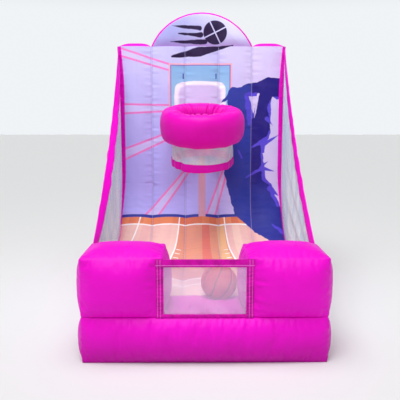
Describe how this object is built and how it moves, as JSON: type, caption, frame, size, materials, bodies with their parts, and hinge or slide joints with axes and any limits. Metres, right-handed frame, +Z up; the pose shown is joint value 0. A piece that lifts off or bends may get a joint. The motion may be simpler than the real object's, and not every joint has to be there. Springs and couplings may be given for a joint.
{
  "type": "inflatable basketball hoop game",
  "caption": "Inflatable basketball game: quilted wall and sloped court, ring with net, side nets, soft corner blocks and a netted ball catch.",
  "frame": {"origin": "on the ground, at the middle of the footprint", "axes": "+Z up, +X to the player's right, +Y away from the player towards the wall"},
  "size_m": [1.5582, 2.384, 2.46],
  "materials": {
    "pink_fabric": "satin",
    "hem_fabric": "satin",
    "wall_print": "satin",
    "court_print": "satin",
    "header_print": "satin",
    "inner_web": "satin",
    "net": "matte",
    "ball_rubber": "matte",
    "webbing": "matte",
    "steel": "satin",
    "zip_plastic": "satin"
  },
  "bodies": {
    "inflatable": {"anchor_loop_front_left": "webbing", "anchor_loop_front_right": "webbing", "anchor_loop_rear_left": "webbing", "anchor_loop_rear_right": "webbing", "anchor_loop_top_left": "webbing", "anchor_loop_top_right": "webbing", "corner_block_left": "pink_fabric", "corner_block_right": "pink_fabric", "court_cell_1": "court_print", "court_cell_2": "court_print", "court_cell_3": "court_print", "court_cell_4": "court_print", "court_cell_5": "court_print", "court_web_1": "inner_web", "court_web_2": "inner_web", "court_web_3": "inner_web", "court_web_4": "inner_web", "edge_trim_left": "pink_fabric", "edge_trim_right": "pink_fabric", "front_beam": "pink_fabric", "ground_sheet": "pink_fabric", "header": "header_print", "header_rim": "pink_fabric", "hoop_hem": "hem_fabric", "hoop_neck": "hem_fabric", "hoop_net": "net", "hoop_ring": "pink_fabric", "inlet_buckle": "zip_plastic", "inlet_collar": "pink_fabric", "inlet_strap": "webbing", "side_band_left": "pink_fabric", "side_band_right": "pink_fabric", "side_net_left": "net", "side_net_right": "net", "wall_cell_1": "wall_print", "wall_cell_2": "wall_print", "wall_cell_3": "wall_print", "wall_cell_4": "wall_print", "wall_cell_5": "wall_print", "wall_web_1": "inner_web", "wall_web_2": "inner_web", "wall_web_3": "inner_web", "wall_web_4": "inner_web", "window_bottom_hem": "hem_fabric", "window_flap_left": "hem_fabric", "window_flap_right": "hem_fabric", "window_mesh": "net", "window_top_hem": "hem_fabric", "zip_tape": "zip_plastic"},
    "ball": {"ball": "ball_rubber"},
    "zip_slider": {"zip_slider": "steel"},
    "zip_pull": {"zip_pull": "steel"},
    "d_ring_front_left": {"d_ring_front_left": "steel"},
    "d_ring_rear_left": {"d_ring_rear_left": "steel"},
    "d_ring_top_left": {"d_ring_top_left": "steel"},
    "d_ring_front_right": {"d_ring_front_right": "steel"},
    "d_ring_rear_right": {"d_ring_rear_right": "steel"},
    "d_ring_top_right": {"d_ring_top_right": "steel"}
  },
  "joints": [
    {"name": "ball_lift", "type": "slide", "parent": "inflatable", "child": "ball", "axis": [0, 0, 1], "range_m": [0, 2.2]},
    {"name": "zip_slide", "type": "slide", "parent": "inflatable", "child": "zip_slider", "axis": [0, 0, 1], "range_m": [0, 0.38]},
    {"name": "zip_pull_hinge", "type": "hinge", "parent": "zip_slider", "child": "zip_pull", "pos_m": [0.3054, 1.1263, 0.21], "axis": [1, 0, 0], "range_deg": [-4, 170]},
    {"name": "d_ring_front_left_hinge", "type": "hinge", "parent": "inflatable", "child": "d_ring_front_left", "pos_m": [-0.77255, -0.514, 0.08], "axis": [0, 1, 0], "range_deg": [-5, 140]},
    {"name": "d_ring_rear_left_hinge", "type": "hinge", "parent": "inflatable", "child": "d_ring_rear_left", "pos_m": [-0.77255, 0.876, 0.08], "axis": [0, 1, 0], "range_deg": [-5, 140]},
    {"name": "d_ring_top_left_hinge", "type": "hinge", "parent": "inflatable", "child": "d_ring_top_left", "pos_m": [-0.77255, 0.876, 1.9], "axis": [0, 1, 0], "range_deg": [-5, 140]},
    {"name": "d_ring_front_right_hinge", "type": "hinge", "parent": "inflatable", "child": "d_ring_front_right", "pos_m": [0.77255, -0.514, 0.08], "axis": [0, -1, 0], "range_deg": [-5, 140]},
    {"name": "d_ring_rear_right_hinge", "type": "hinge", "parent": "inflatable", "child": "d_ring_rear_right", "pos_m": [0.77255, 0.876, 0.08], "axis": [0, -1, 0], "range_deg": [-5, 140]},
    {"name": "d_ring_top_right_hinge", "type": "hinge", "parent": "inflatable", "child": "d_ring_top_right", "pos_m": [0.77255, 0.876, 1.9], "axis": [0, -1, 0], "range_deg": [-5, 140]}
  ]
}
